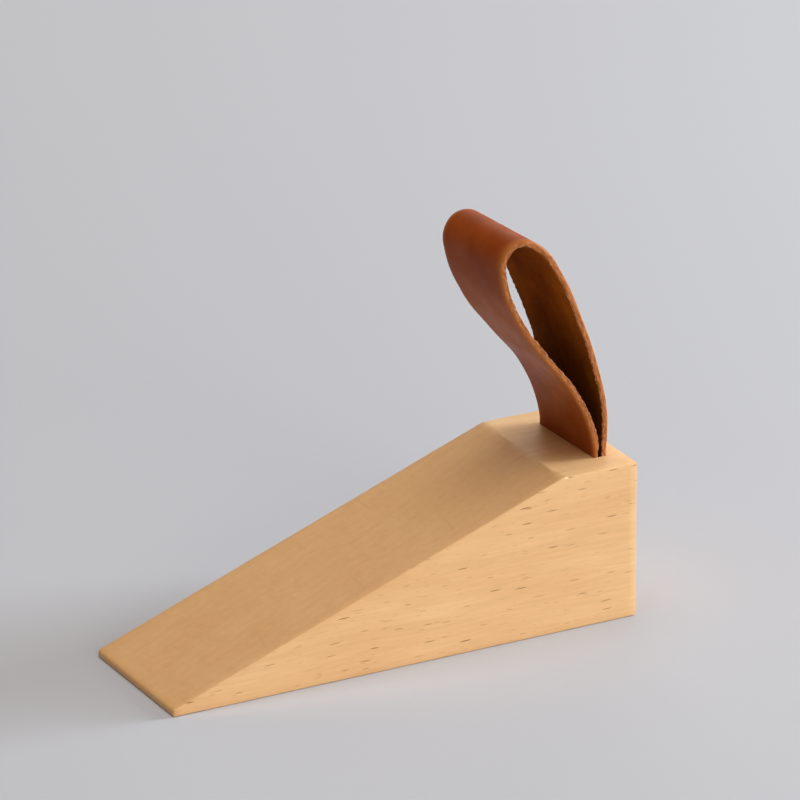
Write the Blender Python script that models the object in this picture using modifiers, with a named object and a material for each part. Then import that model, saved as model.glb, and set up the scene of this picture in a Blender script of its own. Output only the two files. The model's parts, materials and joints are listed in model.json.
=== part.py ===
"""Wooden door stop with a leather pull loop.

A wedge sawn from square beech stock, with a short flat top behind the ramp. A blind slot across
the flat top holds both ends of one folded leather strap, which stands up as a loop to lift the
stop by. The ends are glued in: a bed of glue lies under them, at the bottom of the slot.

Frame: the origin is at the centre of the base, +X runs from the thin nose to the tall heel, and
+Z is up. All lengths are in metres.
"""

import math

import bmesh
import bpy
from mathutils import Vector

# Wedge
WEDGE_LENGTH = 0.125
WEDGE_WIDTH = 0.040
HEEL_HEIGHT = 0.040
NOSE_HEIGHT = 0.0017
FLAT_TOP_LENGTH = 0.0205
ARRIS = 0.0004  # the sawn edges are broken by this much with fine abrasive

# Leather strap
STRAP_WIDTH = 0.0254
LEATHER = 0.0016
TAIL_LENGTH = 0.0180  # how far each end goes down into the slot

# Slot in the flat top
SLOT_TO_HEEL = 0.0060  # from the middle of the slot to the heel face
SLOT_CORNER_RADIUS = 0.0004
GLUE_BED = 0.0012
MESH_GAP = 0.0003  # clearance between pieces that touch on the real object

# Where the strap flexes when the loop is pushed over
FLEX_HEIGHT = 0.0042  # flex axis above the flat top
FLEX_MARGIN = 0.00065  # the round that parts the strap stands out past the slot by this much

# The loop's middle line above the slot, as (towards the heel, up) from the middle of the slot
# mouth. It leaves the slot upright, leans towards the nose, turns over in a tight round fold
# and comes back down in one long curve.
FRONT_STRAND = (
    (-0.0022, 0.0060),
    (-0.0071, 0.0175),
    (-0.0150, 0.0280),
    (-0.0229, 0.0390),
    (-0.0273, 0.0495),
)
FOLD = (
    (-0.0271, 0.0557),
    (-0.0228, 0.0586),
    (-0.0175, 0.0563),
)
BACK_STRAND = (
    (-0.0118, 0.0486),
    (-0.0061, 0.0365),
    (-0.0015, 0.0235),
    (0.0012, 0.0110),
    (0.0014, 0.0050),
)
MOUTH_PULL = 0.0020  # how far the slot holds the strap upright, as the reach of a curve handle
LINE_STEPS = 6  # straight steps between two points of the middle line

# Worked out from the sizes above
HEEL_X = WEDGE_LENGTH / 2
NOSE_X = -WEDGE_LENGTH / 2
RIDGE_X = HEEL_X - FLAT_TOP_LENGTH
SLOT_X = HEEL_X - SLOT_TO_HEEL
TAIL_OFFSET = (LEATHER + MESH_GAP) / 2  # from the middle of the slot to the middle of a tail
SLOT_WIDTH = 2 * LEATHER + 3 * MESH_GAP
SLOT_LENGTH = STRAP_WIDTH + 2 * MESH_GAP
SLOT_DEPTH = TAIL_LENGTH + MESH_GAP + GLUE_BED + MESH_GAP
FLEX_AXIS = Vector((SLOT_X, 0, HEEL_HEIGHT + FLEX_HEIGHT))
FLEX_RADIUS = SLOT_WIDTH / 2 + FLEX_MARGIN


def clear_scene():
    for item in list(bpy.data.objects):
        bpy.data.objects.remove(item, do_unlink=True)


def new_collection(name):
    collection = bpy.data.collections.new(name)
    bpy.context.scene.collection.children.link(collection)
    return collection


def material(name, colour, roughness):
    made = bpy.data.materials.new(name)
    made.use_nodes = True
    shader = made.node_tree.nodes["Principled BSDF"]
    shader.inputs["Base Color"].default_value = (*colour, 1)
    shader.inputs["Roughness"].default_value = roughness
    shader.inputs["Metallic"].default_value = 0
    return made


def link_object(name, data, collection, finish=None):
    made = bpy.data.objects.new(name, data)
    collection.objects.link(made)
    if finish:
        data.materials.append(finish)
    return made


def box(name, size, centre, collection, finish=None):
    mesh = bpy.data.meshes.new(name)
    shape = bmesh.new()
    bmesh.ops.create_cube(shape, size=1)
    bmesh.ops.scale(shape, vec=size, verts=shape.verts)
    shape.to_mesh(mesh)
    shape.free()
    made = link_object(name, mesh, collection, finish)
    made.location = centre
    return made


def round_upright_edges(item, radius, segments):
    """Rounds the box's four edges along Z, as a slot cutter leaves them."""
    shape = bmesh.new()
    shape.from_mesh(item.data)
    upright = [
        edge
        for edge in shape.edges
        if abs(edge.verts[0].co.z - edge.verts[1].co.z) > 0.9 * item.dimensions.z
    ]
    bmesh.ops.bevel(shape, geom=upright, offset=radius, segments=segments, affect="EDGES", profile=0.5)
    shape.to_mesh(item.data)
    shape.free()


def flat_curve_mesh(name, outline, width, collection):
    """An outline in the XZ plane, given as (x, z) points, extruded evenly to both sides of Y = 0."""
    curve = bpy.data.curves.new(name, "CURVE")
    curve.dimensions = "2D"
    curve.fill_mode = "BOTH"
    curve.extrude = width / 2
    spline = curve.splines.new("POLY")
    spline.points.add(len(outline) - 1)
    for point, (x, z) in zip(spline.points, outline):
        point.co = (x, z, 0, 1)
    spline.use_cyclic_u = True
    drawn = link_object(name, curve, collection)
    drawn.rotation_euler = (math.pi / 2, 0, 0)
    return mesh_from_curve(drawn, collection)


def mesh_from_curve(drawn, collection):
    """Turns a curve object into a closed mesh object of the same name and place."""
    name = drawn.name
    bpy.context.view_layer.update()
    graph = bpy.context.evaluated_depsgraph_get()
    mesh = bpy.data.meshes.new_from_object(drawn.evaluated_get(graph))
    place = drawn.matrix_world.copy()
    bpy.data.objects.remove(drawn, do_unlink=True)
    shape = bmesh.new()
    shape.from_mesh(mesh)
    bmesh.ops.remove_doubles(shape, verts=shape.verts, dist=1e-6)
    bmesh.ops.recalc_face_normals(shape, faces=shape.faces)
    shape.to_mesh(mesh)
    shape.free()
    made = link_object(name, mesh, collection)
    made.matrix_world = place
    return made


def cylinder_across(name, radius, length, centre, collection, segments=48):
    mesh = bpy.data.meshes.new(name)
    shape = bmesh.new()
    bmesh.ops.create_cone(
        shape, cap_ends=True, segments=segments, radius1=radius, radius2=radius, depth=length
    )
    shape.to_mesh(mesh)
    shape.free()
    made = link_object(name, mesh, collection)
    made.location = centre
    made.rotation_euler = (math.pi / 2, 0, 0)
    return made


def combine(item, other, operation):
    modifier = item.modifiers.new(f"{operation.title()} {other.name}", "BOOLEAN")
    modifier.object = other
    modifier.operation = operation
    modifier.solver = "EXACT"


def hide_cutter(item):
    item.hide_render = True
    item.display_type = "WIRE"


def wedge_outline():
    return (
        (NOSE_X, 0),
        (HEEL_X, 0),
        (HEEL_X, HEEL_HEIGHT),
        (RIDGE_X, HEEL_HEIGHT),
        (NOSE_X, NOSE_HEIGHT),
    )


def make_wedge(parts, cutters, finish):
    """The beech block: a sawn profile with broken edges, and the blind slot cut in its flat top."""
    block = flat_curve_mesh("wedge_block", wedge_outline(), WEDGE_WIDTH, parts)
    block.data.materials.append(finish)
    edges = block.modifiers.new("Broken edges", "BEVEL")
    edges.width = ARRIS
    edges.segments = 2
    edges.limit_method = "ANGLE"
    edges.angle_limit = math.radians(15)
    slot_height = 2 * SLOT_DEPTH
    slot = box(
        "slot_cutter",
        (SLOT_WIDTH, SLOT_LENGTH, slot_height),
        (SLOT_X, 0, HEEL_HEIGHT),
        cutters,
    )
    round_upright_edges(slot, SLOT_CORNER_RADIUS, 3)
    hide_cutter(slot)
    combine(block, slot, "DIFFERENCE")
    return block


def strap_line():
    """The whole strap's middle line, as points for a Bezier curve from the front tail's end over
    the fold to the back tail's end: (x, z, rise). The rise is how far a handle reaches straight
    up, where the slot holds the strap upright, and 0 where the leather is free to curve."""
    mouth = HEEL_HEIGHT
    end = mouth - TAIL_LENGTH
    front_x = SLOT_X - TAIL_OFFSET
    back_x = SLOT_X + TAIL_OFFSET
    front = [(front_x, end, MOUTH_PULL), (front_x, mouth, MOUTH_PULL)]
    free = [(SLOT_X + along, mouth + up, 0) for along, up in FRONT_STRAND + FOLD + BACK_STRAND]
    back = [(back_x, mouth, -MOUTH_PULL), (back_x, end, -MOUTH_PULL)]
    return front + free + back


def ribbon_on(name, line, collection):
    """An open curve in the XZ plane, widened along Y into a ribbon as wide as the strap."""
    curve = bpy.data.curves.new(name, "CURVE")
    curve.dimensions = "2D"
    curve.fill_mode = "NONE"
    curve.resolution_u = LINE_STEPS
    curve.extrude = STRAP_WIDTH / 2
    spline = curve.splines.new("BEZIER")
    spline.bezier_points.add(len(line) - 1)
    for point, (x, z, rise) in zip(spline.bezier_points, line):
        point.co = (x, z, 0)
        if rise:
            point.handle_left_type = "FREE"
            point.handle_right_type = "FREE"
            point.handle_left = (x, z - rise, 0)
            point.handle_right = (x, z + rise, 0)
        else:
            point.handle_left_type = "AUTO"
            point.handle_right_type = "AUTO"
    drawn = link_object(name, curve, collection)
    drawn.rotation_euler = (math.pi / 2, 0, 0)
    return mesh_from_curve(drawn, collection)


def make_strap(name, parts, finish):
    """The strap as one closed solid: a ribbon on the middle line, with the leather's thickness."""
    ribbon = ribbon_on(name, strap_line(), parts)
    ribbon.data.materials.append(finish)
    leather = ribbon.modifiers.new("Leather thickness", "SOLIDIFY")
    leather.thickness = LEATHER
    leather.offset = 0
    leather.use_even_offset = True
    return ribbon


def make_loop(parts, cutters, finish):
    """The part of the strap that stands above the flex axis and swings with it."""
    loop = make_strap("strap_loop", parts, finish)
    reach = 2 * WEDGE_WIDTH
    below = box(
        "below_flex_cutter",
        (reach, reach, reach),
        (SLOT_X, 0, FLEX_AXIS.z - reach / 2),
        cutters,
    )
    clear = cylinder_across(
        "flex_clearance_cutter", FLEX_RADIUS + MESH_GAP, reach, FLEX_AXIS, cutters
    )
    for cutter in (below, clear):
        hide_cutter(cutter)
        combine(loop, cutter, "DIFFERENCE")
    return loop


def make_tail(name, side, parts, cutters, finish):
    """One end of the strap, from the bottom of the slot to the rounded end at the flex axis.
    side is -1 for the tail nearer the nose and 1 for the tail nearer the heel."""
    tail = make_strap(name, parts, finish)
    reach = 2 * WEDGE_WIDTH
    keep = box(
        f"{name}_keep",
        (reach / 2, reach, reach),
        (SLOT_X + side * reach / 4, 0, FLEX_AXIS.z - MESH_GAP - reach / 2),
        cutters,
    )
    round_end = cylinder_across(f"{name}_round_end", FLEX_RADIUS, reach, FLEX_AXIS, cutters)
    half = box(
        f"{name}_half",
        (reach / 2, reach, reach),
        (SLOT_X + side * reach / 4, 0, FLEX_AXIS.z),
        cutters,
    )
    for cutter in (keep, round_end, half):
        hide_cutter(cutter)
    combine(round_end, half, "INTERSECT")
    combine(keep, round_end, "UNION")
    combine(tail, keep, "INTERSECT")
    return tail


def make_glue_bed(parts, finish):
    """Glue that set at the bottom of the slot, under the ends of both tails."""
    bottom = HEEL_HEIGHT - SLOT_DEPTH + MESH_GAP
    size = (SLOT_WIDTH - 2 * MESH_GAP, SLOT_LENGTH - 2 * MESH_GAP, GLUE_BED)
    return box("glue_bed", size, (SLOT_X, 0, bottom + GLUE_BED / 2), parts, finish)


def main():
    clear_scene()
    parts = new_collection("door_stop")
    cutters = new_collection("cutters")
    beech = material("beech", (0.74, 0.52, 0.31), 0.55)
    leather = material("vegetable_tanned_leather", (0.30, 0.10, 0.035), 0.45)
    glue = material("wood_glue", (0.80, 0.72, 0.50), 0.35)

    make_wedge(parts, cutters, beech)
    make_glue_bed(parts, glue)
    make_tail("strap_front_tail", -1, parts, cutters, leather)
    make_tail("strap_back_tail", 1, parts, cutters, leather)

    swing = link_object("loop_swing", None, parts)
    swing.location = FLEX_AXIS
    loop = make_loop(parts, cutters, leather)
    bpy.context.view_layer.update()
    place = loop.matrix_world.copy()
    loop.parent = swing
    loop.matrix_parent_inverse = swing.matrix_world.inverted()
    loop.matrix_world = place


main()
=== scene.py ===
# %% [markdown]
# # A beech door stop with a leather pull loop
#
# The object is a wedge sawn from square beech stock, with one folded leather strap glued into a
# slot behind the ramp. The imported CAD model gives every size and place. This script makes the
# pieces that are seen: the wood with its softened edges and rays, and the strap with its smooth
# grain side, its nap inside the loop and its raw cut edges.

# %% Load the frame
import json
import math

import bmesh
import bpy
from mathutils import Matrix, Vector


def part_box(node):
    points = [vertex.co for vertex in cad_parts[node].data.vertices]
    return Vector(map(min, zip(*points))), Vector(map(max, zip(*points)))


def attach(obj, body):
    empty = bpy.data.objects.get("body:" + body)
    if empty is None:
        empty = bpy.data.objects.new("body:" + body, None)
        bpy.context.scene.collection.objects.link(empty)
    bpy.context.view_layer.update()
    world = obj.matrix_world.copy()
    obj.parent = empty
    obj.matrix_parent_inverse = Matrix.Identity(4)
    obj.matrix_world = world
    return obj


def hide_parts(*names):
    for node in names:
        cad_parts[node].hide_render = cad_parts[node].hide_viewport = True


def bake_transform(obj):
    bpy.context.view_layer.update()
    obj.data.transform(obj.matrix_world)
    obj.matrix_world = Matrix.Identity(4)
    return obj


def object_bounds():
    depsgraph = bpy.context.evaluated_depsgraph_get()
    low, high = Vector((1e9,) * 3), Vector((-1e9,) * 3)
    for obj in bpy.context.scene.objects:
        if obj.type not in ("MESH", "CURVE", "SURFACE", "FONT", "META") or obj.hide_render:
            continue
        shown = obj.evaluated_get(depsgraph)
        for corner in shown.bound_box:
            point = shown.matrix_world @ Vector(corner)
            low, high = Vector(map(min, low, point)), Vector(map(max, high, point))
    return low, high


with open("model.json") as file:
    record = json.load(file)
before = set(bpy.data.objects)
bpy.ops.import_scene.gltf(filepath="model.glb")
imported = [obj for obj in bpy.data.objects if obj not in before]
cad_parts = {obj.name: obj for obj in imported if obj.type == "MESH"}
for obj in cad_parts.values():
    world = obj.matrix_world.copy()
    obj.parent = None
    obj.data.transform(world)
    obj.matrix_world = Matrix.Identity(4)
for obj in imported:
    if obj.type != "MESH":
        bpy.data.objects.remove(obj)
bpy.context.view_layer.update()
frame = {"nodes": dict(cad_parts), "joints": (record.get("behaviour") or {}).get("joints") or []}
bpy.ops.object.select_all(action="DESELECT")

MM = 0.001
block_low, block_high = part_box("wedge_block")
bed_low, bed_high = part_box("glue_bed")
loop_low, loop_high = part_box("strap_loop")
flex_axis = next(joint["pos_m"] for joint in frame["joints"] if joint["name"] == "loop_flex")
print("wedge", [round(side / MM, 1) for side in block_high - block_low], "mm")
print("the loop flexes", round(flex_axis[2] / MM, 1), "mm above the base")

# %% [markdown]
# ## Camera
#
# A long lens from well back keeps the sides of the wedge nearly parallel. A short lens close by
# would make the thin nose look too big. The camera stands to the left of the near side and looks
# down on the ramp. Setting it before any modelling lets every later choice be judged in the
# final view.

# %% Camera
CAMERA_PLACE = Vector((-0.82780, -1.54821, 0.78184))
CAMERA_TURN = math.radians(-28.382)  # from looking along +Y, turned about the vertical
CAMERA_DOWN = math.radians(22.319)  # below the horizon
LENS, SENSOR = 360, 36  # both in mm

camera_data = bpy.data.cameras.new("product_camera")
camera_data.sensor_width = SENSOR
camera_data.lens = LENS
camera = bpy.data.objects.new("product_camera", camera_data)
camera.location = CAMERA_PLACE
camera.rotation_euler = (math.pi / 2 - CAMERA_DOWN, 0, CAMERA_TURN)
bpy.context.scene.collection.objects.link(camera)
bpy.context.scene.camera = camera
bpy.context.scene.view_settings.view_transform = "Standard"
print("camera", round(CAMERA_PLACE.length, 2), "m away")

# %% [markdown]
# ## Helpers for materials
#
# Colours are written as sRGB hex values and turned to the linear values that a shader needs in
# one place. One function adds any node: it sets the node's own settings and fills its sockets
# with constants, colours or links. A finish is then built as a painter would build it, from one
# base colour with thin layers over it, each laid on by a pattern.

# %% Material helpers
def linear(hex_colour):
    """An sRGB hex colour as linear RGBA."""
    channels = [int(hex_colour[i : i + 2], 16) / 255 for i in (1, 3, 5)]
    channels = [c / 12.92 if c <= 0.04045 else ((c + 0.055) / 1.055) ** 2.4 for c in channels]
    return (*channels, 1)


def add_node(tree, kind, inputs, output=0, **settings):
    """Adds a node and gives one of its outputs. A socket takes a number, a hex colour or a link."""
    node = tree.nodes.new("ShaderNode" + kind)
    for name, value in settings.items():
        setattr(node, name, value)
    for socket, value in inputs.items():
        if isinstance(value, bpy.types.NodeSocket):
            tree.links.new(value, node.inputs[socket])
        elif isinstance(value, str):
            node.inputs[socket].default_value = linear(value)
        else:
            node.inputs[socket].default_value = value
    return node.outputs[output]


def new_material(name, roughness, ior):
    """A material with its node tree and its Principled shader."""
    material = bpy.data.materials.new(name)
    material.use_nodes = True
    shader = material.node_tree.nodes["Principled BSDF"]
    shader.inputs["Roughness"].default_value = roughness
    shader.inputs["IOR"].default_value = ior
    return material, material.node_tree, shader


def layered(tree, tone, layers):
    """A tone with other colours over it. Each layer is its share, its pattern and its colour."""
    for share, pattern, colour in layers:
        amount = add_node(tree, "Math", {0: pattern, 1: share}, operation="MULTIPLY")
        tone = add_node(tree, "Mix", {0: amount, 6: tone, 7: colour}, 2, data_type="RGBA")
    return tone


print("mid grey #808080 is", round(linear("#808080")[0], 3), "in linear light")

# %% [markdown]
# ## Patterns at real size
#
# A pattern looks right only at its real size, so no scale is a bare number. A place is divided
# by a size in millimetres, and the noise then has one patch per unit. The three sides may differ,
# which stretches a patch into a streak.

# %% Patterns in millimetres
def in_mm(tree, place, sides):
    """A place measured in units of the given sides, in mm along X, Y and Z."""
    scale = [1 / (side * MM) for side in sides]
    return add_node(tree, "VectorMath", {0: place, 1: scale}, operation="MULTIPLY")


def soft_noise(tree, place, sides, low=0.3, high=0.7, detail=2.0):
    """Soft noise from 0 to 1, in patches of the given sides in mm."""
    noise = {"Vector": in_mm(tree, place, sides), "Scale": 1.0, "Detail": detail}
    noise = add_node(tree, "TexNoise", noise)
    return add_node(tree, "MapRange", {"Value": noise, "From Min": low, "From Max": high})


# %% [markdown]
# ## Beech
#
# Beech, planed, fine-sanded and wiped with a thin matt oil. Solid wood is one body of grain that
# a saw opens in different directions, so the pattern is made in space and not painted on each
# face: growth rings round a far-off heart, fibres along the stock, and the rays that are beech's
# mark. A ray is a thin upright ribbon that runs out from the heart. Its end shows as a short brown
# dash on the sides, its flank as a faint fleck on the ramp, and its edge as a line on the heel.

# %% The space of the wood
HEART = (0, 95 * MM, -14 * MM)  # the tree's heart, beyond the far side of the stock
RING_WIDTH = 3.1 * MM  # one year's growth
ALONG_TRUNK = 0.04  # rings hardly change along the stock
WANDER = (0, 4 * MM, 4 * MM)  # how far the grain strays from straight


def grain_place(tree):
    """The wood's own coordinates, wandering a little, as a trunk's grain does."""
    place = add_node(tree, "TexCoord", {}, "Object")
    slow = in_mm(tree, place, (48, 30, 30))
    wander = add_node(tree, "TexNoise", {"Vector": slow, "Scale": 1.0, "Detail": 1.0}, "Color")
    wander = add_node(tree, "VectorMath", {0: wander, 1: (0.5, 0.5, 0.5)}, operation="SUBTRACT")
    wander = add_node(tree, "VectorMath", {0: wander, 1: WANDER}, operation="MULTIPLY")
    return add_node(tree, "VectorMath", {0: place, 1: wander})


def late_wood(tree, place):
    """Growth rings, as bands of distance from the heart: 0 in early wood and 1 in late wood."""
    away = add_node(tree, "VectorMath", {0: place, 1: HEART}, operation="SUBTRACT")
    flatten = (ALONG_TRUNK, 1, 1)
    away = add_node(tree, "VectorMath", {0: away, 1: flatten}, operation="MULTIPLY")
    radius = add_node(tree, "VectorMath", {0: away}, "Value", operation="LENGTH")
    year = add_node(tree, "Math", {0: radius, 1: RING_WIDTH}, operation="DIVIDE")
    year = add_node(tree, "Math", {0: year}, operation="FRACT")
    return add_node(tree, "MapRange", {"Value": year, "From Min": 0.35, "From Max": 0.95})


def rays(tree, place, cell, half_size, pale_share):
    """Ray ribbons, 1 inside one and 0 outside. There is one in each cell of the given sides,
    in mm, and a share of them is too pale to see."""
    space = in_mm(tree, place, cell)
    centre = add_node(tree, "TexVoronoi", {"Vector": space, "Scale": 1.0}, "Position")
    away = add_node(tree, "VectorMath", {0: space, 1: centre}, operation="SUBTRACT")
    stretch = [side / half for side, half in zip(cell, half_size)]
    away = add_node(tree, "VectorMath", {0: away, 1: stretch}, operation="MULTIPLY")
    reach = add_node(tree, "VectorMath", {0: away}, "Value", operation="LENGTH")
    inside = {"Value": reach, "From Min": 1.0, "From Max": 0.5}
    inside = add_node(tree, "MapRange", inside, interpolation_type="SMOOTHSTEP")
    chance = add_node(tree, "SeparateColor", {0: centre.node.outputs["Color"]})
    strength = add_node(tree, "MapRange", {"Value": chance, "From Min": pale_share})
    return add_node(tree, "Math", {0: inside, 1: strength}, operation="MULTIPLY")


print("about", round((block_high.y - block_low.y) / RING_WIDTH), "growth rings across the stock")

# %% [markdown]
# ### The finish on the beech
#
# Colour is laid on from the broadest pattern to the smallest: clouds, rings, streaks and fibres,
# then the warmer tone of faces cut across the fibres, part oil and part painted shade, the heel's
# end grain, and the rays last. An image of wood wrapped round the block would show a seam at
# every corner. A pattern in space runs on round them, and only the way a face was cut changes
# what it shows.

# %% The beech material
# A bold ray every 5 or 6 mm, and shorter, fainter ones between them. Each row gives the cell
# that holds one ray and the ray's half size, in mm, then its pale share and its strength.
RAYS = (
    ((2.9, 6.0, 1.25), (0.85, 2.6, 0.1), 0.35, 0.35),
    ((5.6, 9.0, 2.3), (1.3, 4.0, 0.14), 0.3, 0.65),
    ((8.2, 12.0, 3.6), (2.0, 5.5, 0.19), 0.05, 0.95),
)
MOST_CUT_TONE = 0.45  # the greatest share of the warmer tone, part oil and part painted shade, that a face takes


def beech():
    # Pale, even and almost without gloss, so that the small brown rays are what the eye finds.
    material, tree, shader = new_material("beech_fine_sanded", 0.5, 1.5)
    place = grain_place(tree)
    late = late_wood(tree, place)
    clouds = soft_noise(tree, place, (34, 13, 8))
    streaks = soft_noise(tree, place, (13, 1.4, 0.8))
    fibres = soft_noise(tree, place, (6, 0.4, 0.4))
    layers = [(1.0, clouds, "#edc28c"), (0.12, late, "#cf9862")]
    layers += [(0.26, streaks, "#cf9e66"), (0.12, fibres, "#c08f5b")]
    # The object's own normal says how a face was cut. The more it crosses the fibres, the warmer
    # and darker it is: partly the oil that cut fibres drink, and partly painted shade, which makes
    # the ramp darker than the sides as its half shade does. The ramp takes a little, and the thin
    # nose a little more.
    cut = add_node(tree, "SeparateXYZ", {0: add_node(tree, "TexCoord", {}, "Normal")})
    cut_tone_and_shade = add_node(tree, "Math", {0: cut}, operation="ABSOLUTE")
    cut_tone_and_shade = add_node(tree, "Math", {0: cut_tone_and_shade, 1: MOST_CUT_TONE}, operation="MINIMUM")
    layers += [(1.0, cut_tone_and_shade, "#cd9250")]
    # The heel is bare end grain: dark late wood closes each ring, with open pores all through.
    heel = add_node(tree, "MapRange", {"Value": cut, "From Min": 0.6, "From Max": 0.95})
    pores = soft_noise(tree, place, (4, 0.35, 0.35), 0.45, 0.7)
    end_grain = layered(tree, "#c58b50", [(0.5, late, "#a8713a"), (0.45, pores, "#8a5d30")])
    layers += [(1.0, heel, end_grain)]
    # Ray flanks are soft flecks, and show on the ramp and the top, where the ray ends do not.
    side = add_node(tree, "Math", {0: cut.node.outputs["Y"]}, operation="ABSOLUTE")
    side = {"Value": side, "From Min": 0.3, "From Max": 0.9, "To Min": 0.1}
    side = add_node(tree, "MapRange", side)
    not_side = add_node(tree, "Math", {0: 1.0, 1: side}, operation="SUBTRACT")
    flecks = soft_noise(tree, place, (2.4, 5.0, 2.0), 0.5, 0.8)
    flecks = add_node(tree, "Math", {0: flecks, 1: not_side}, operation="MULTIPLY")
    layers += [(0.15, flecks, "#b9804f")]
    # Ray ends are brown dashes on the two sides, and the heel shows the same rays edge on.
    ray_ends = add_node(tree, "Math", {0: side, 1: heel}, operation="MAXIMUM")
    for cell, half_size, pale_share, strength in RAYS:
        dashes = rays(tree, place, cell, half_size, pale_share)
        dashes = add_node(tree, "Math", {0: ray_ends, 1: dashes}, operation="MULTIPLY")
        layers += [(strength, dashes, "#84531c")]
    tree.links.new(layered(tree, "#e6b67f", layers), shader.inputs["Base Color"])
    # Fibres stand up a little, and the boldest rays are a little sunken.
    height = add_node(tree, "Math", {0: fibres, 1: 0.35}, operation="MULTIPLY")
    height = {0: dashes, 1: -strength, 2: height}
    height = add_node(tree, "Math", height, operation="MULTIPLY_ADD")
    bump = {"Height": height, "Strength": 0.4, "Distance": 0.05 * MM}
    tree.links.new(add_node(tree, "Bump", bump), shader.inputs["Normal"])
    return material


beech_finish = beech()
print(beech_finish.name, "has", len(beech_finish.node_tree.nodes), "nodes")

# %% [markdown]
# ## Helpers for modelling
#
# Blender's operators act on whatever is selected, so each step first makes its own piece the only
# one selected. Modifiers are applied at once, and a box is moved and scaled in its mesh. Every
# finished piece then sits at the origin, and the patterns on it stay where they belong.

# %% Modelling helpers
def only(piece):
    """Makes a piece the one that operators act on."""
    bpy.ops.object.select_all(action="DESELECT")
    piece.select_set(True)
    bpy.context.view_layer.objects.active = piece


def apply_modifiers(piece):
    only(piece)
    for modifier in list(piece.modifiers):
        bpy.ops.object.modifier_apply(modifier=modifier.name)


def add_box(low, high):
    """A box between two corners, with its place in its mesh."""
    low, high = Vector(low), Vector(high)
    bpy.ops.mesh.primitive_cube_add(size=1, location=(low + high) / 2, scale=high - low)
    bpy.ops.object.transform_apply(location=True, rotation=True, scale=True)
    return bpy.context.object


# %% [markdown]
# ## The wedge
#
# The real block is cross-cut from a planed square stick, sawn once along the slope, and its edges
# are broken with fine abrasive. Moving the corners of a box would give the same outline, but the
# same steps as the saw's keep each size one number: a box, one cut with bisect, a rounder bevel
# on the nose, which doors and shoes have rubbed, and a narrow bevel on every other edge.

# %% Saw the wedge and break its edges
NOSE_EDGE = 1.7 * MM  # height of the thin front edge
FLAT_TOP = 20.5 * MM
BROKEN_EDGE = 0.3 * MM
RUBBED_NOSE = 0.45 * MM
SHARP_CORNER = math.radians(35)  # the ridge is blunter than this, and stays crisp
TOUCH = 0.01 * MM  # points closer than this are at the same place

ridge = Vector((block_high.x - FLAT_TOP, 0, block_high.z))
nose = Vector((block_low.x, 0, block_low.z + NOSE_EDGE))
ramp_normal = Vector((nose.z - ridge.z, 0, ridge.x - nose.x)).normalized()

wedge = add_box(block_low, block_high)
wedge.name = "wedge"
bpy.ops.object.mode_set(mode="EDIT")
bpy.ops.mesh.select_all(action="SELECT")
bpy.ops.mesh.bisect(plane_co=ridge, plane_no=ramp_normal, clear_outer=True, use_fill=True)
bpy.ops.mesh.select_mode(type="EDGE")
bpy.ops.mesh.select_all(action="DESELECT")
shape = bmesh.from_edit_mesh(wedge.data)
for edge in shape.edges:
    start, end = (vert.co for vert in edge.verts)
    on_nose = max(start.x, end.x) < nose.x + TOUCH
    edge.select_set(on_nose and max(start.z, end.z) > nose.z - TOUCH)
bmesh.update_edit_mesh(wedge.data)
bpy.ops.mesh.bevel(offset=RUBBED_NOSE, segments=5, affect="EDGES")
bpy.ops.object.mode_set(mode="OBJECT")
broken = wedge.modifiers.new("Broken edges", "BEVEL")
broken.width = BROKEN_EDGE
broken.segments = 3
broken.limit_method = "ANGLE"
broken.angle_limit = SHARP_CORNER
apply_modifiers(wedge)
print("the ramp rises at", round(math.degrees(math.acos(ramp_normal.z)), 1), "degrees")

# %% [markdown]
# ## The slot
#
# The strap's two ends share one narrow slot across the flat top. It could be left out, since the
# leather nearly fills it, but the dark line round the leather is what makes the strap sit in the
# wood and not on it. A box is the cutter. Its far end leans towards the nose as the strap does.

# %% Cut the slot
SLOT_EASE = 0.03 * MM
SLOT_FLOOR_GAP = 0.3 * MM  # between the glue and the wood under it
SLOT_LEAN = (0.94, 1.52)  # mm towards the nose at the far end of its front and back walls


def cut_away(piece, cutter):
    """Takes one piece's shape out of another, and removes the cutter."""
    cut = piece.modifiers.new("Cut", "BOOLEAN")
    cut.object = cutter
    cut.operation = "DIFFERENCE"
    apply_modifiers(piece)
    bpy.data.objects.remove(cutter)


ease = Vector((SLOT_EASE, SLOT_EASE, SLOT_FLOOR_GAP))
slot_middle = Vector(((bed_low.x + bed_high.x) / 2, 0, 0))
cutter = add_box(bed_low - ease, Vector((bed_high.x, bed_high.y, 2 * block_high.z)) + ease)
for vert in cutter.data.vertices:
    if vert.co.y > 0:
        vert.co.x -= SLOT_LEAN[int(vert.co.x > slot_middle.x)] * MM
cut_away(wedge, cutter)
print("the slot is", round((block_high.z - bed_low.z + ease.z) / MM, 1), "mm deep")

# %% [markdown]
# ## Marks of use
#
# The near edge of the ramp has four small knocks, and a splinter is missing at the ridge. Each is
# a shallow round dent. Painting them as dark spots would not catch the light, so a ball far
# bigger than the dent is sunk in by the dent's depth and cut away.

# %% Nick the arris
# How far behind the nose each knock is, how wide and how deep, in mm.
NICKS = ((29.3, 1.5, 0.2), (55.3, 1.1, 0.13), (63.3, 1.5, 0.22), (88.0, 0.9, 0.1))
NICK_WAY = ramp_normal * 0.9 + Vector((0, -0.6, 0))  # out from the arris
CHIP = (1.5, 0.16)  # width and depth in mm
CHIP_PLACE = ridge + Vector((0.9 * MM, block_low.y, 0))
CHIP_WAY = Vector((0.5, -1, 0.6))


def dent(corner, outwards, width, depth):
    """Takes a shallow round dent out of the wedge. A chord and its depth give the ball."""
    radius = (width * width / 4 + depth * depth) / (2 * depth) * MM
    middle = corner + outwards.normalized() * (radius - depth * MM)
    bpy.ops.mesh.primitive_ico_sphere_add(subdivisions=4, radius=radius, location=middle)
    bpy.ops.object.transform_apply(location=True, rotation=True, scale=True)
    cut_away(wedge, bpy.context.object)


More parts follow.
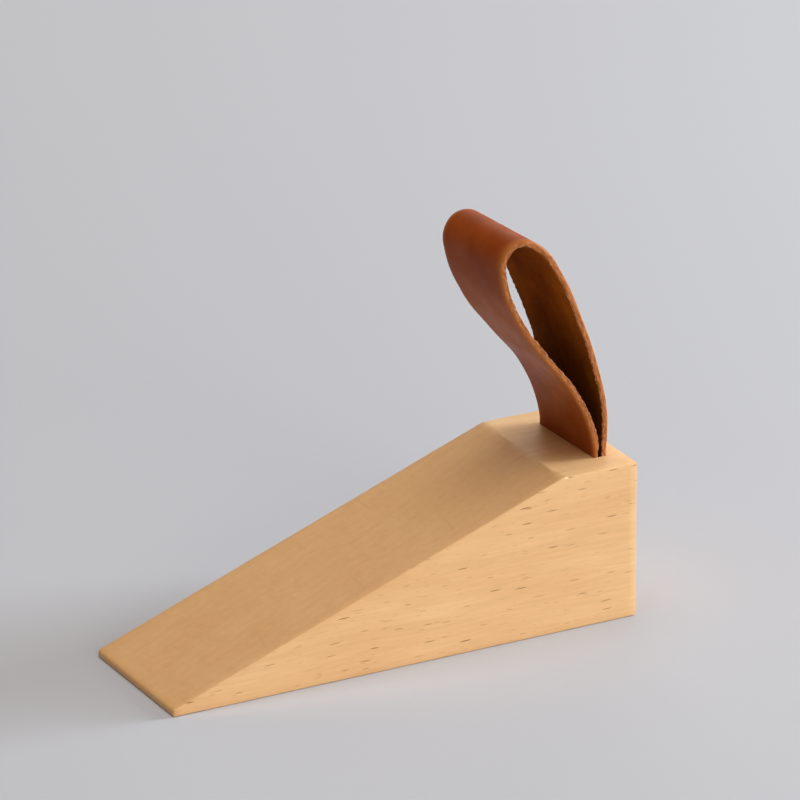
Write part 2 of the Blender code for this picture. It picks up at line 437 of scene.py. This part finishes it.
for behind_nose, width, depth in NICKS:
    along = behind_nose * MM / (ridge.x - nose.x)
    arris = nose.lerp(ridge, along) + Vector((0, block_low.y, 0))
    dent(arris, NICK_WAY, width, depth)
dent(CHIP_PLACE, CHIP_WAY, *CHIP)
print(len(NICKS), "nicks and a chip, none deeper than", max(nick[2] for nick in NICKS), "mm")

# %% [markdown]
# ## Hand-sanding
#
# Sanding by hand leaves every face and edge very slightly uneven. A bump in the material would
# not show along the outline, so the points themselves move. The flat faces have too few points
# for that, and bisect adds them in even slices without changing the shape.

# %% Slice the faces and sand them by hand
SLICE = 2.4 * MM
SANDING = (11 * MM, 0.14 * MM)  # width of a patch, and how far its surface strays
SHARPEST_WOOD = math.radians(20)  # faces that meet at less than this are shaded as one


def roughen(piece, name, patch, strength, group=""):
    """Moves a piece's surface in and out by a cloud texture, and applies it."""
    texture = bpy.data.textures.new(name, "CLOUDS")
    texture.noise_scale = patch
    modifier = piece.modifiers.new(name, "DISPLACE")
    modifier.texture = texture
    modifier.strength = strength
    modifier.mid_level = 0.5
    modifier.vertex_group = group
    apply_modifiers(piece)


bpy.ops.object.mode_set(mode="EDIT")
for axis in range(3):
    across = Vector([float(axis == i) for i in range(3)])
    span = block_high[axis] - block_low[axis]
    count = round(span / SLICE)
    for i in range(1, count):
        bpy.ops.mesh.select_all(action="SELECT")
        bpy.ops.mesh.bisect(plane_co=block_low + across * span * i / count, plane_no=across)
bpy.ops.mesh.select_all(action="DESELECT")
bpy.ops.object.mode_set(mode="OBJECT")
roughen(wedge, "hand_sanding", *SANDING)
bpy.ops.object.shade_smooth_by_angle(angle=SHARPEST_WOOD)
wedge.data.materials.append(beech_finish)
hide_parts("wedge_block")
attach(wedge, "block")
print("wedge:", len(wedge.data.polygons), "faces")

# %% [markdown]
# ## The strap's path
#
# Leather stands by its own stiffness. The strap leaves the slot upright, leans towards the nose,
# turns over in one tight fold and comes down in a long easy curve. One curve with automatic
# handles gives that even bend, and it is drawn flat so that the strap cannot roll over on it.

# %% The strap's path
LEATHER = 1.6 * MM
STRAP_WIDTH = loop_high.y - loop_low.y
TAIL_SPREAD = 0.92 * MM  # from the middle of the slot to the middle of each tail
TAIL_END = bed_high.z + 0.3 * MM
UPRIGHT = 2 * MM  # how far the tails stay upright at the mouth
MOUTH = Vector((slot_middle.x, block_high.z))
# Towards the heel and up from the middle of the mouth, in mm.
RISING = ((-1.9, 6.2), (-7.0, 17.6), (-14.9, 28.0), (-22.5, 39.1), (-26.5, 49.7))
FOLD = ((-26.3, 55.9), (-22.7, 58.7), (-17.1, 56.6))
FALLING = ((-11.4, 48.8), (-6.0, 36.6), (-1.5, 23.5), (1.2, 11.1), (1.25, 5.1))


def strap_path():
    """A flat curve whose X is the model's X and whose Y is the model's height."""
    free = [MOUTH + Vector(point) * MM for point in RISING + FOLD + FALLING]
    front = [Vector((MOUTH.x - TAIL_SPREAD, height)) for height in (TAIL_END, MOUTH.y)]
    back = [Vector((MOUTH.x + TAIL_SPREAD, height)) for height in (MOUTH.y, TAIL_END)]
    points = front + free + back
    reach = {0: UPRIGHT, 1: UPRIGHT, len(points) - 2: -UPRIGHT, len(points) - 1: -UPRIGHT}
    curve = bpy.data.curves.new("strap_path", "CURVE")
    curve.dimensions = "2D"
    curve.resolution_u = 24
    spline = curve.splines.new("BEZIER")
    spline.bezier_points.add(len(points) - 1)
    for i, (knot, point) in enumerate(zip(spline.bezier_points, points)):
        knot.co = point.to_3d()
        knot.handle_left_type = knot.handle_right_type = "FREE" if i in reach else "AUTO"
        if i in reach:
            knot.handle_left = knot.co - Vector((0, reach[i], 0))
            knot.handle_right = knot.co + Vector((0, reach[i], 0))
    path = bpy.data.objects.new("strap_path", curve)
    bpy.context.scene.collection.objects.link(path)
    return path


path = strap_path()
STRAP_LENGTH = path.data.splines[0].calc_length()
TAIL_LENGTH = MOUTH.y - TAIL_END
print("strap", round(STRAP_LENGTH / MM, 1), "mm long,", round(STRAP_WIDTH / MM, 1), "mm wide")

# %% [markdown]
# ## Leather
#
# The strap is vegetable-tanned cowhide, about 1.6 mm thick, dyed cognac brown. It shows three
# finishes: the smooth grain side, the matt flesh side and the raw cut edge. All three read the
# strap's own flat coordinates, kept from before it was bent, so that a pattern follows the
# leather round the fold. Object coordinates would slice straight through it.

# %% Reading the flat strap
MOUTH_FROM_FOLD = (STRAP_LENGTH / 2 - TAIL_LENGTH) / MM
HALF_WIDTH = STRAP_WIDTH / MM / 2
HALF_LEATHER = LEATHER / MM / 2


def strap_noise(tree, sides, detail=2.0):
    """Soft noise on the flat strap, in patches of the given sides in mm."""
    place = add_node(tree, "Attribute", {}, "Vector", attribute_name="flat_place")
    return soft_noise(tree, place, sides, detail=detail)


def strap_axis(tree, axis):
    """How far along (X), across (Y) or through (Z) the flat strap a point is, in mm."""
    place = add_node(tree, "Attribute", {}, "Vector", attribute_name="flat_place")
    return add_node(tree, "SeparateXYZ", {0: in_mm(tree, place, (1, 1, 1))}, axis)


def from_fold(tree):
    """How far along the strap a point is from the middle of the fold, in mm."""
    middle = STRAP_LENGTH / MM / 2
    along = add_node(tree, "Math", {0: strap_axis(tree, "X"), 1: middle}, operation="SUBTRACT")
    return add_node(tree, "Math", {0: along}, operation="ABSOLUTE")


def from_middle(tree):
    """How far across the strap a point is from its middle line, in mm."""
    return add_node(tree, "Math", {0: strap_axis(tree, "Y")}, operation="ABSOLUTE")


print("from the fold to the mouth of the slot:", round(MOUTH_FROM_FOLD, 1), "mm")

# %% [markdown]
# ### Grain side
#
# The outside of the hide, dyed and lightly waxed. Its gloss is low and a little uneven, and fine
# creases run between the pores. The strands are paler between the fold and the mouth: partly dye
# rubbed off where fingers grip, and partly a painted sheen. Both borders are rubbed paler still.

# %% Grain side
def grain_side():
    # Satin and smooth, so that the light slides round the fold in one broad soft band.
    material, tree, shader = new_material("vegetable_tanned_leather_grain", 0.5, 1.4)
    shader.inputs["Specular IOR Level"].default_value = 0.1
    clouds = strap_noise(tree, (15, 10, 15), 3.0)
    # Paler between the fold and the mouth, fading out at both: rubbed dye and a painted sheen.
    distance = from_fold(tree)
    starts = {"Value": distance, "From Min": 8, "From Max": 26}
    ends = {"Value": distance, "From Min": MOUTH_FROM_FOLD - 2, "From Max": MOUTH_FROM_FOLD - 20}
    rubbed_and_sheen = {0: add_node(tree, "MapRange", starts), 1: add_node(tree, "MapRange", ends)}
    rubbed_and_sheen = add_node(tree, "Math", rubbed_and_sheen, operation="MULTIPLY")
    place = add_node(tree, "Attribute", {}, "Vector", attribute_name="flat_place")
    pores = {"Vector": in_mm(tree, place, (0.6, 0.6, 0.6)), "Scale": 1.0}
    pores = add_node(tree, "TexVoronoi", pores, "Distance", feature="DISTANCE_TO_EDGE")
    smooth = add_node(tree, "MapRange", {"Value": pores, "From Max": 0.12})
    creases = add_node(tree, "Math", {0: 1.0, 1: smooth}, operation="SUBTRACT")
    border = {"From Min": HALF_WIDTH - 2.0, "From Max": HALF_WIDTH - 0.4}
    border = add_node(tree, "MapRange", {"Value": from_middle(tree), **border})
    layers = [(1.0, clouds, "#9c4a1d"), (0.7, rubbed_and_sheen, "#b06024")]
    layers += [(0.18, creases, "#4f200a"), (0.7, border, "#ac6631")]
    tree.links.new(layered(tree, "#82370f", layers), shader.inputs["Base Color"])
    satin = strap_noise(tree, (6, 6, 6))
    satin = add_node(tree, "MapRange", {"Value": satin, "To Min": 0.38, "To Max": 0.5})
    tree.links.new(satin, shader.inputs["Roughness"])
    height = add_node(tree, "Math", {0: strap_noise(tree, (0.5, 0.5, 0.5)), 1: smooth})
    bump = {"Height": height, "Strength": 0.35, "Distance": 0.04 * MM}
    tree.links.new(add_node(tree, "Bump", bump), shader.inputs["Normal"])
    return material


grain_finish = grain_side()
print(grain_finish.name, "has", len(grain_finish.node_tree.nodes), "nodes")

# %% [markdown]
# ### Flesh side
#
# The inside of the hide, which lines the loop, is a short nap with no gloss at all. It is painted
# darker towards the slot, as painted shade for the deep inside of the loop. The knife has left
# pale torn fibres along both borders, painted paler still as a painted highlight: the thin light
# line round the inside of the loop.

# %% Flesh side
def flesh_side():
    # Loose fibres: blotchy and dull, and paler where the nap stands up.
    material, tree, shader = new_material("vegetable_tanned_leather_flesh", 0.95, 1.4)
    shader.inputs["Specular IOR Level"].default_value = 0.04
    clouds = strap_noise(tree, (9, 6, 9))
    nap = strap_noise(tree, (0.9, 0.5, 0.5), 4.0)
    # Painted shade: the nap darkens towards the slot, deep inside the loop.
    painted_shade_near_slot = {"From Min": MOUTH_FROM_FOLD - 40, "From Max": MOUTH_FROM_FOLD - 8}
    painted_shade_near_slot = add_node(tree, "MapRange", {"Value": from_fold(tree), **painted_shade_near_slot})
    # Pale torn fibres along both borders, lightened further as a painted highlight on the inner
    # arris.
    pale_fibres_and_highlight = {"From Min": HALF_WIDTH - 0.7, "From Max": HALF_WIDTH}
    pale_fibres_and_highlight = add_node(tree, "MapRange", {"Value": from_middle(tree), **pale_fibres_and_highlight})
    tufts = strap_noise(tree, (1.1, 0.5, 0.5), 3.0)
    pale_fibres_and_highlight = add_node(tree, "Math", {0: pale_fibres_and_highlight, 1: tufts}, operation="MULTIPLY")
    pale_fibres_and_highlight = add_node(tree, "MapRange", {"Value": pale_fibres_and_highlight, "From Min": 0.3, "From Max": 0.6})
    layers = [(1.0, clouds, "#a85a14"), (0.35, nap, "#b37229")]
    layers += [(0.7, painted_shade_near_slot, "#2c1203"), (1.0, pale_fibres_and_highlight, "#d09a64")]
    tree.links.new(layered(tree, "#88430a", layers), shader.inputs["Base Color"])
    bump = {"Height": nap, "Strength": 0.8, "Distance": 0.12 * MM}
    tree.links.new(add_node(tree, "Bump", bump), shader.inputs["Normal"])
    return material


flesh_finish = flesh_side()
print(flesh_finish.name, "has", len(flesh_finish.node_tree.nodes), "nodes")

# %% [markdown]
# ### Cut edge
#
# Dye does not go all the way through a hide, so its cut edge is paler: raw fibres, streaked along
# the strap, under the thin dark skin of the grain side. A flat tan would look like plastic here,
# because this edge faces the viewer all round the loop.

# %% Cut edge
def cut_edge():
    # Rough and fibrous. Along the flesh side some fibres are torn out, and ragged patches there are
    # painted dark as painted shade in the gaps.
    material, tree, shader = new_material("vegetable_tanned_leather_cut_edge", 0.8, 1.45)
    shader.inputs["Specular IOR Level"].default_value = 0.3
    fibres = strap_noise(tree, (1.3, 0.5, 0.3), 4.0)
    height = strap_axis(tree, "Z")
    skin = {"Value": height, "From Min": HALF_LEATHER - 0.4, "From Max": HALF_LEATHER - 0.1}
    skin = add_node(tree, "MapRange", skin)
    # Painted shade: ragged dark patches along the flesh side of the edge.
    torn_gap_shade = strap_noise(tree, (0.9, 0.6, 0.25), 3.0)
    torn_gap_shade = add_node(tree, "MapRange", {"Value": torn_gap_shade, "From Min": 0.55, "From Max": 0.75})
    flesh = {"Value": height, "From Min": -0.3, "From Max": 0.05 - HALF_LEATHER}
    flesh = add_node(tree, "MapRange", flesh)
    torn_gap_shade = add_node(tree, "Math", {0: torn_gap_shade, 1: flesh}, operation="MULTIPLY")
    layers = [(1.0, fibres, "#b5733c"), (0.5, skin, "#823f16"), (1.0, torn_gap_shade, "#4c230b")]
    tree.links.new(layered(tree, "#8f4b1e", layers), shader.inputs["Base Color"])
    bump = {"Height": fibres, "Strength": 0.9, "Distance": 0.12 * MM}
    tree.links.new(add_node(tree, "Bump", bump), shader.inputs["Normal"])
    return material


edge_finish = cut_edge()
print(edge_finish.name, "has", len(edge_finish.node_tree.nodes), "nodes")

# %% [markdown]
# ## The strap
#
# The strap is made as a saddler makes it: a flat strip first, with its thickness, its grain-side
# edges rounded with an edge tool and its flesh-side edges left a little ragged from the knife.
# Only then is it bent along the path. Everything that is hard to shape on a curve is easy on a
# flat strip, and the flat coordinates are stored on it before the bend.

# %% Cut the flat strip
ALONG = 0.42 * MM  # length of one face along the strap
ACROSS = 1.1 * MM

bpy.ops.mesh.primitive_grid_add(
    x_subdivisions=round(STRAP_LENGTH / ALONG),
    y_subdivisions=round(STRAP_WIDTH / ACROSS),
    size=1,
    location=(STRAP_LENGTH / 2, 0, 0),
)
strap = bpy.context.object
strap.name = "leather_strap"
strap.scale = (STRAP_LENGTH, STRAP_WIDTH, 1)
bpy.ops.object.transform_apply(location=True, rotation=True, scale=True)
wall = strap.modifiers.new("Leather thickness", "SOLIDIFY")
wall.thickness = LEATHER
wall.offset = 0
apply_modifiers(strap)
print("flat strip:", [round(side / MM, 1) for side in strap.dimensions], "mm")

# %% [markdown]
# ### The strap's edges
#
# An edge tool takes the grain-side corners off in a round, while the flesh side keeps the corner
# that the knife left. A Bevel modifier would treat all the corners alike, so the long edges are
# picked by their height and bevelled in two goes. The strip's ends are hidden, and stay square.

# %% Tool the edges
ROUNDED = 0.55 * MM
RAGGED = 0.12 * MM
EDGE_ROWS = (-0.35 * MM, 0)  # heights of extra rows of points, for the torn fibres


def select_arris(level):
    """In edit mode, selects the two long edges of the strip at a height."""
    bpy.ops.mesh.select_all(action="DESELECT")
    shape = bmesh.from_edit_mesh(strap.data)
    for edge in shape.edges:
        start, end = (vert.co for vert in edge.verts)
        long = abs(start.x - end.x) > ALONG / 2
        border = min(abs(start.y), abs(end.y)) > STRAP_WIDTH / 2 - TOUCH
        at_level = max(abs(start.z - level), abs(end.z - level)) < TOUCH
        edge.select_set(long and border and at_level)
    bmesh.update_edit_mesh(strap.data)


bpy.ops.object.mode_set(mode="EDIT")
bpy.ops.mesh.select_mode(type="EDGE")
select_arris(LEATHER / 2)
bpy.ops.mesh.bevel(offset=ROUNDED, segments=4, affect="EDGES")
select_arris(-LEATHER / 2)
bpy.ops.mesh.bevel(offset=RAGGED, segments=2, affect="EDGES")
for level in EDGE_ROWS:
    bpy.ops.mesh.select_all(action="SELECT")
    bpy.ops.mesh.bisect(plane_co=(0, 0, level), plane_no=(0, 0, 1))
bpy.ops.object.mode_set(mode="OBJECT")
print("strip:", len(strap.data.polygons), "faces")

# %% [markdown]
# ### One piece, three finishes
#
# On the flat strip, the way a face looks tells its finish: up is grain, down is flesh and the
# rest is cut edge. Each point's place on the flat strip is then kept as an attribute, because
# bending moves the points and leaves their attributes alone.

# %% Finish the faces and keep the flat coordinates
for finish in (grain_finish, flesh_finish, edge_finish):
    strap.data.materials.append(finish)
for face in strap.data.polygons:
    grain, flesh = face.normal.z > 0.5, face.normal.z < -0.75
    face.material_index = 0 if grain else 1 if flesh else 2
flat_place = strap.data.attributes.new("flat_place", "FLOAT_VECTOR", "POINT")
for vert in strap.data.vertices:
    flat_place.data[vert.index].vector = vert.co
finish_of_face = [face.material_index for face in strap.data.polygons]
print("faces of grain, flesh and edge:", [finish_of_face.count(i) for i in range(3)])

# %% [markdown]
# ## Paring and wear
#
# A saddler pares the flesh side of the tails thinner, so that both fit one slot. The knife that
# cut the strip has left torn fibres along its edges. Each is a Displace modifier that acts
# through a vertex group, and a weight says how much each point takes part. Moving points one by
# one would do as well, but a weight can be looked at and painted over later.

# %% Pare the tails and wear the edges
PARED = 0.55 * MM
PARING = (4 * MM, 0.5 * MM)  # above the mouth, where the paring starts and is full
TORN_FIBRES = (0.7 * MM, 0.5 * MM)  # width of a patch, and how far its surface strays


def smooth_step(value, start, end):
    share = min(max((value - start) / (end - start), 0), 1)
    return share * share * (3 - 2 * share)


def weigh(name, weight):
    """A vertex group whose weights, from 0 to 1, come from a function of the flat place."""
    # Looked up each time, because applying a modifier leaves an older reference out of date.
    flat_place = strap.data.attributes["flat_place"]
    group = strap.vertex_groups.new(name=name)
    for vert in strap.data.vertices:
        group.add([vert.index], weight(flat_place.data[vert.index].vector), "REPLACE")
    return name


def shift(name, direction, strength, weight):
    """Moves the strap's points along X, Y or Z by a weighted distance."""
    modifier = strap.modifiers.new(name, "DISPLACE")
    modifier.direction = direction
    modifier.mid_level = 0
    modifier.strength = strength
    modifier.vertex_group = weigh(name, weight)
    apply_modifiers(strap)


def pared(flat):
    """The front tail, which comes first along the strip, is pared more than the back one."""
    from_end = min(flat.x, STRAP_LENGTH - flat.x) - TAIL_LENGTH
    depth = smooth_step(-flat.z, -LEATHER / 2, LEATHER / 2)
    depth *= 1 if flat.x < STRAP_LENGTH / 2 else 0.5
    return depth * smooth_step(from_end, *PARING)


def knife_reach(flat):
    inset = STRAP_WIDTH / 2 - abs(flat.y)
    return 1.0 if inset < ROUNDED and flat.z < LEATHER / 2 - ROUNDED else 0.0


shift("pared_tails", "Z", PARED, pared)
roughen(strap, "torn_fibres", *TORN_FIBRES, weigh("torn_fibres", knife_reach))
print("vertex groups:", [group.name for group in strap.vertex_groups])

# %% [markdown]
# ## Bending the strap
#
# A Curve modifier lays the strip along the path. Turning each row of points by hand would come to
# the same, but the modifier keeps the leather's length. The path is drawn flat, so the strip is
# turned on its side first and stood up afterwards.

# %% Bend the strip
def turn_about_x(piece, angle):
    only(piece)
    piece.rotation_euler = (angle, 0, 0)
    bpy.ops.object.transform_apply(location=False, rotation=True, scale=False)


turn_about_x(strap, -math.pi / 2)
lay = strap.modifiers.new("Lay along the path", "CURVE")
lay.object = path
lay.deform_axis = "POS_X"
apply_modifiers(strap)
turn_about_x(strap, math.pi / 2)
bpy.data.objects.remove(path)
print("bent strap:", [round(side / MM, 1) for side in strap.dimensions], "mm")

# %% [markdown]
# ## Leaning
#
# A hand-folded loop never stands quite square to its slot: its far edge leans towards the nose,
# most of all at the back of the loop. Shearing the whole strap would lean it all alike, so a
# weight lets the lean grow from the near edge to the far one and change along the strap.

# %% Lean the far edge
# In mm, at even steps from the front of the mouth to its back.
LEAN = (SLOT_LEAN[0], 0.58, 1.35, 2.05, 2.75, 2.2, SLOT_LEAN[1])
SHARPEST_LEATHER = math.radians(40)


def lean(flat):
    """The share of the greatest lean that a point takes: none on the near edge."""
    share = (flat.x - TAIL_LENGTH) / (STRAP_LENGTH - 2 * TAIL_LENGTH)
    place = min(max(share, 0), 1) * (len(LEAN) - 1)
    step = min(int(place), len(LEAN) - 2)
    mixed = LEAN[step] + (LEAN[step + 1] - LEAN[step]) * smooth_step(place - step, 0, 1)
    return mixed / max(LEAN) * (flat.y / STRAP_WIDTH + 0.5)


shift("lean", "X", -max(LEAN) * MM, lean)
bpy.ops.object.shade_smooth_by_angle(angle=SHARPEST_LEATHER)
print("the far edge leans up to", max(LEAN), "mm towards the nose")

# %% [markdown]
# ## Flexing
#
# The loop flexes about a line just above the mouth. Two rigid halves that meet there would tear
# open. Leather bends over a few millimetres and does not hinge, so the strap is made as one
# piece. Here the imported strap parts are hidden and the strap's place is baked into its mesh.

# %% Hide the imported strap parts
FLEX_END = 8 * MM  # above the axis, where the strap turns fully with the loop

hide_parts("strap_loop", "strap_front_tail", "strap_back_tail")
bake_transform(strap)
bend = flex_axis[2] + FLEX_END - block_high.z
print("the strap bends over", round(bend / MM, 1), "mm above the flat top")

# %% [markdown]
# ## Glue
#
# Dried wood glue lies under the tails at the bottom of the slot. It is hidden, but the piece is
# real, so it gets the slightly glossy amber of set glue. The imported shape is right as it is, so
# only its material changes.

# %% Glue
def dried_glue():
    # Clear amber where it is thin and cloudy cream where it is thick.
    material, tree, shader = new_material("dried_wood_glue", 0.35, 1.47)
    runs = soft_noise(tree, add_node(tree, "TexCoord", {}, "Object"), (2, 2, 2))
    tone = layered(tree, "#cda766", [(1.0, runs, "#e2c68c")])
    tree.links.new(tone, shader.inputs["Base Color"])
    return material


glue_bed = frame["nodes"]["glue_bed"]
glue_bed.data.materials.clear()
glue_bed.data.materials.append(dried_glue())
print("glue", round((bed_high.z - bed_low.z) / MM, 1), "mm thick")

# %% [markdown]
# ## Floor
#
# A plain pale floor, so that the wood and the leather are the only warm things in view. It is
# much larger than the object, and its cloudiness is too faint and slow to draw the eye.

# %% Floor
FLOOR_GAP = 0.01 * MM  # keeps the floor from flickering through the base


def painted_floor():
    # Matt paint with faint cloudiness, too slow to look like a pattern.
    material, tree, shader = new_material("matt_painted_floor", 0.85, 1.45)
    place = in_mm(tree, add_node(tree, "TexCoord", {}, "Object"), (600, 600, 600))
    clouds = add_node(tree, "TexNoise", {"Vector": place, "Scale": 1.0})
    tone = layered(tree, "#b1b1b6", [(1.0, clouds, "#b7b7bb")])
    tree.links.new(tone, shader.inputs["Base Color"])
    return material


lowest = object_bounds()[0][2]
bpy.ops.mesh.primitive_plane_add(size=8, location=(0, 0, lowest - FLOOR_GAP))
floor = bpy.context.object
floor.name = "floor"
floor.data.materials.append(painted_floor())
print("floor at", round((lowest - FLOOR_GAP) / MM, 2), "mm")

# %% [markdown]
# ## Light
#
# The main light, a window, stands beyond the heel and a little in front. The flat top and the
# near side are bright, the ramp falls into half shade and the loop throws a soft shadow towards
# the nose. The fills are warm and weak, and keep the shaded leather from going black. A bright
# ceiling lights everything from above. It is a very wide sun, because a large lamp near the
# object would leave the far floor dark.

# %% Light
# Each square light's name, place and side in metres, power in watts and colour.
SOFT_LIGHTS = (
    ("window", (1.35, -0.24, 0.31), 0.5, 36, "#e9f5ff"),
    ("front_fill", (0, -1.55, 0.43), 1.0, 13, "#fff1e1"),
    ("behind", (0.65, 1.23, 0.58), 0.8, 3.5, "#fff3e7"),
    ("nose_fill", (-1.46, -0.26, 0.23), 1.0, 2.5, "#fff3e7"),
)
CEILING_WIDTH = math.radians(50)
CEILING_STRENGTH = 2.05


def add_light(name, kind, strength, colour):
    data = bpy.data.lights.new(name, kind)
    data.energy = strength
    data.color = linear(colour)[:3]
    light = bpy.data.objects.new(name, data)
    bpy.context.scene.collection.objects.link(light)
    return light


for name, place, side, watts, colour in SOFT_LIGHTS:
    light = add_light(name, "AREA", watts, colour)
    light.data.size = side
    light.location = place
    aim = (block_low + block_high) / 2 - light.location
    light.rotation_euler = aim.to_track_quat("-Z", "Y").to_euler()
add_light("ceiling", "SUN", CEILING_STRENGTH, "#fffbf6").data.angle = CEILING_WIDTH
print("lights:", [light.name for light in bpy.data.lights])

# %% [markdown]
# ## Backdrop
#
# A low view looks past the floor. An empty world is black there, and a bright one would fill
# every shadow. A pale wall that hardly lights the object keeps both right: the world is bright
# only to the rays that come straight from the camera.

# %% Backdrop
WALL_LIGHT = 0.03  # the wall's light on the object, as a share of how bright it looks

world = bpy.data.worlds.new("studio")
world.use_nodes = True
backdrop = world.node_tree.nodes["Background"].inputs
backdrop["Color"].default_value = linear("#c2c3c6")
seen = add_node(world.node_tree, "LightPath", {}, "Is Camera Ray")
seen = add_node(world.node_tree, "MapRange", {"Value": seen, "To Min": WALL_LIGHT})
world.node_tree.links.new(seen, backdrop["Strength"])
bpy.context.scene.world = world
print("the wall looks pale and gives", WALL_LIGHT, "of its light")
